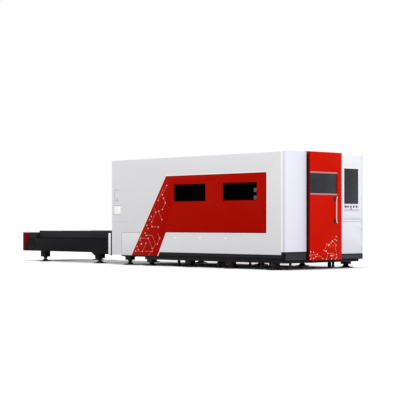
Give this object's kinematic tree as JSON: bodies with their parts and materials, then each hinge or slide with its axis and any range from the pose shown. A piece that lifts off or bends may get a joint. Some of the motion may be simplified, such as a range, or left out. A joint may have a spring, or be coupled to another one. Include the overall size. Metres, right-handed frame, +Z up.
{
  "type": "fiber_laser_cutting_machine",
  "caption": "Enclosed flat-bed fiber laser cutter with a red sliding door, control cabinet, dark side windows and a long exchange table with rolling pallets behind it",
  "frame": {"origin": "on the floor under the middle of the machine's whole box", "axes": "+X points to the operator's end with the red door, -Y is the long side with the red band that the picture shows, +Z is up"},
  "size_m": [8.7577, 2.3258, 2.223],
  "materials": {
    "frame_black": "satin black powder coat on the base and the feet blocks",
    "feet_steel": "dark levelling feet, slightly worn",
    "bed_grey": "grey welded bed, satin",
    "wall_white": "fine-grained pale grey-white powder coat",
    "front_white": "smooth white powder coat, faintly cool",
    "signal_red": "smooth bright red powder coat",
    "door_red": "smooth bright red powder coat on the door",
    "pale_trim": "pale metal strips that mirror the red beside them",
    "window_frame": "dark frame, satin",
    "dark_glass": "dark laser-protection glass",
    "plinth_grey": "dark grey powder coat",
    "table_grey": "satin black-grey powder coat on the table",
    "pallet_steel": "dark grey painted steel",
    "slat_steel": "plain laser-cut steel slats, heat-tinted",
    "machined_steel": "ground and machined steel",
    "chain_steel": "oiled chain steel",
    "cast_beam": "light metal beam, bead-blasted",
    "servo_black": "black motor housings",
    "copper": "copper nozzle",
    "screen_black": "dark screen",
    "handle_metal": "pale anodised pull bar",
    "standoff_dark": "dark standoffs",
    "button_red": "red mushroom cap",
    "button_dark": "dark push-button caps",
    "button_green": "green push-button cap",
    "key_metal": "plated lock barrel and key",
    "keyboard_black": "black keyboard",
    "cover_white": "covers in the wall's paint",
    "guard_grey": "pale grey guards"
  },
  "bodies": {
    "machine": {"base_frame": "frame_black", "levelling_feet": "feet_steel", "bed_beams": "bed_grey", "bed_tracks": "machined_steel", "enclosure_frame": "wall_white", "roof_panels": "wall_white", "side_panel_near": "wall_white", "side_panel_far": "wall_white", "red_bands": "signal_red", "band_borders": "pale_trim", "side_window_frames": "window_frame", "side_window_panes": "dark_glass", "service_covers": "cover_white", "rear_wall": "wall_white", "front_left_panel": "front_white", "front_plinths": "plinth_grey", "front_frame": "frame_black", "door_rails": "machined_steel", "cabinet_fascia": "front_white", "cabinet_walls": "wall_white", "monitor": "screen_black", "cabinet_modules": "frame_black", "bed_rails": "machined_steel", "table_frames": "table_grey", "table_end_housing": "table_grey", "table_end_cover": "signal_red", "link_guards": "guard_grey", "exchange_chains": "chain_steel", "exchange_motor": "servo_black"},
    "gate": {"rear_gate": "plinth_grey"},
    "door": {"door_leaf": "door_red", "door_pane": "dark_glass", "door_trims": "pale_trim", "door_handle": "handle_metal", "handle_standoffs": "standoff_dark"},
    "lower_door": {"cabinet_door": "front_white"},
    "drawer": {"keyboard_drawer": "front_white", "keyboard": "keyboard_black"},
    "stop_button": {"emergency_stop": "button_red"},
    "button_1": {"push_button_1": "button_green"},
    "button_2": {"push_button_2": "button_dark"},
    "button_3": {"push_button_3": "button_dark"},
    "button_4": {"push_button_4": "button_dark"},
    "key": {"key_switch": "key_metal"},
    "gantry": {"gantry_beam": "cast_beam", "gantry_motors": "servo_black"},
    "cross_carriage": {"carriage": "cast_beam"},
    "head": {"cutting_head": "servo_black", "nozzle": "copper"},
    "upper_pallet": {"upper_pallet_frame": "pallet_steel", "upper_pallet_slats": "slat_steel"},
    "lower_pallet": {"lower_pallet_frame": "pallet_steel", "lower_pallet_slats": "slat_steel"},
    "upper_rear_wheel_set": {"upper_rear_wheels": "machined_steel"},
    "upper_front_wheel_set": {"upper_front_wheels": "machined_steel"},
    "lower_rear_wheel_set": {"lower_rear_wheels": "machined_steel"},
    "lower_front_wheel_set": {"lower_front_wheels": "machined_steel"},
    "drive_sprockets": {"drive_shaft": "machined_steel"},
    "idler_sprockets": {"idler_shaft": "machined_steel"}
  },
  "joints": [
    {"name": "door_slide", "type": "slide", "parent": "machine", "child": "door", "axis": [0, -1, 0], "range_m": [0, 0.58]},
    {"name": "cabinet_door_hinge", "type": "hinge", "parent": "machine", "child": "lower_door", "pos_m": [4.243, 1.084, 0.6], "axis": [0, 0, 1], "range_deg": [0, 110]},
    {"name": "drawer_slide", "type": "slide", "parent": "machine", "child": "drawer", "axis": [1, 0, 0], "range_m": [0, 0.3]},
    {"name": "stop_press", "type": "slide", "parent": "machine", "child": "stop_button", "axis": [-1, 0, 0], "range_m": [0, 0.006], "stiffness_N_per_m": 900},
    {"name": "button_1_press", "type": "slide", "parent": "machine", "child": "button_1", "axis": [-1, 0, 0], "range_m": [0, 0.004], "stiffness_N_per_m": 700},
    {"name": "button_2_press", "type": "slide", "parent": "machine", "child": "button_2", "axis": [-1, 0, 0], "range_m": [0, 0.004], "stiffness_N_per_m": 700},
    {"name": "button_3_press", "type": "slide", "parent": "machine", "child": "button_3", "axis": [-1, 0, 0], "range_m": [0, 0.004], "stiffness_N_per_m": 700},
    {"name": "button_4_press", "type": "slide", "parent": "machine", "child": "button_4", "axis": [-1, 0, 0], "range_m": [0, 0.004], "stiffness_N_per_m": 700},
    {"name": "key_turn", "type": "hinge", "parent": "machine", "child": "key", "pos_m": [4.2345, 0.76, 1.1505], "axis": [1, 0, 0], "range_deg": [0, 90]},
    {"name": "gantry_travel", "type": "slide", "parent": "machine", "child": "gantry", "axis": [1, 0, 0], "range_m": [-3, 0]},
    {"name": "carriage_travel", "type": "slide", "parent": "gantry", "child": "cross_carriage", "axis": [0, 1, 0], "range_m": [-0.67, 0.67]},
    {"name": "head_lift", "type": "slide", "parent": "cross_carriage", "child": "head", "axis": [0, 0, 1], "range_m": [-0.32, 0]},
    {"name": "gate_lift", "type": "slide", "parent": "machine", "child": "gate", "axis": [0, 0, 1], "range_m": [-0.545, 0]},
    {"name": "pallet_exchange", "type": "slide", "parent": "machine", "child": "upper_pallet", "axis": [1, 0, 0], "range_m": [0, 3.75]},
    {"name": "lower_pallet_travel", "type": "slide", "parent": "machine", "child": "lower_pallet", "axis": [1, 0, 0], "range_m": [-3.75, 0]},
    {"name": "upper_rear_wheels_roll", "type": "hinge", "parent": "upper_pallet", "child": "upper_rear_wheel_set", "pos_m": [-3.4155, 0, 0.5803], "axis": [0, 1, 0], "range_deg": [0, 5380]},
    {"name": "upper_front_wheels_roll", "type": "hinge", "parent": "upper_pallet", "child": "upper_front_wheel_set", "pos_m": [-1.2055, 0, 0.5803], "axis": [0, 1, 0], "range_deg": [0, 5380]},
    {"name": "lower_rear_wheels_roll", "type": "hinge", "parent": "lower_pallet", "child": "lower_rear_wheel_set", "pos_m": [0.3345, 0, 0.3103], "axis": [0, 1, 0], "range_deg": [-5380, 0]},
    {"name": "lower_front_wheels_roll", "type": "hinge", "parent": "lower_pallet", "child": "lower_front_wheel_set", "pos_m": [2.5445, 0, 0.3103], "axis": [0, 1, 0], "range_deg": [-5380, 0]},
    {"name": "drive_shaft_turn", "type": "hinge", "parent": "machine", "child": "drive_sprockets", "pos_m": [-3.9155, 0, 0.502], "axis": [0, 1, 0], "range_deg": [0, 4780]},
    {"name": "idler_shaft_turn", "type": "hinge", "parent": "machine", "child": "idler_sprockets", "pos_m": [0.0545, 0, 0.502], "axis": [0, 1, 0], "range_deg": [0, 4780]}
  ],
  "couplings": [
    {"joint": "lower_pallet_travel", "follows": "pallet_exchange", "ratio": -1},
    {"joint": "upper_rear_wheels_roll", "follows": "pallet_exchange", "rad_per_m": 25},
    {"joint": "upper_front_wheels_roll", "follows": "pallet_exchange", "rad_per_m": 25},
    {"joint": "lower_rear_wheels_roll", "follows": "pallet_exchange", "rad_per_m": -25},
    {"joint": "lower_front_wheels_roll", "follows": "pallet_exchange", "rad_per_m": -25},
    {"joint": "drive_shaft_turn", "follows": "pallet_exchange", "rad_per_m": 22.222},
    {"joint": "idler_shaft_turn", "follows": "pallet_exchange", "rad_per_m": 22.222}
  ]
}
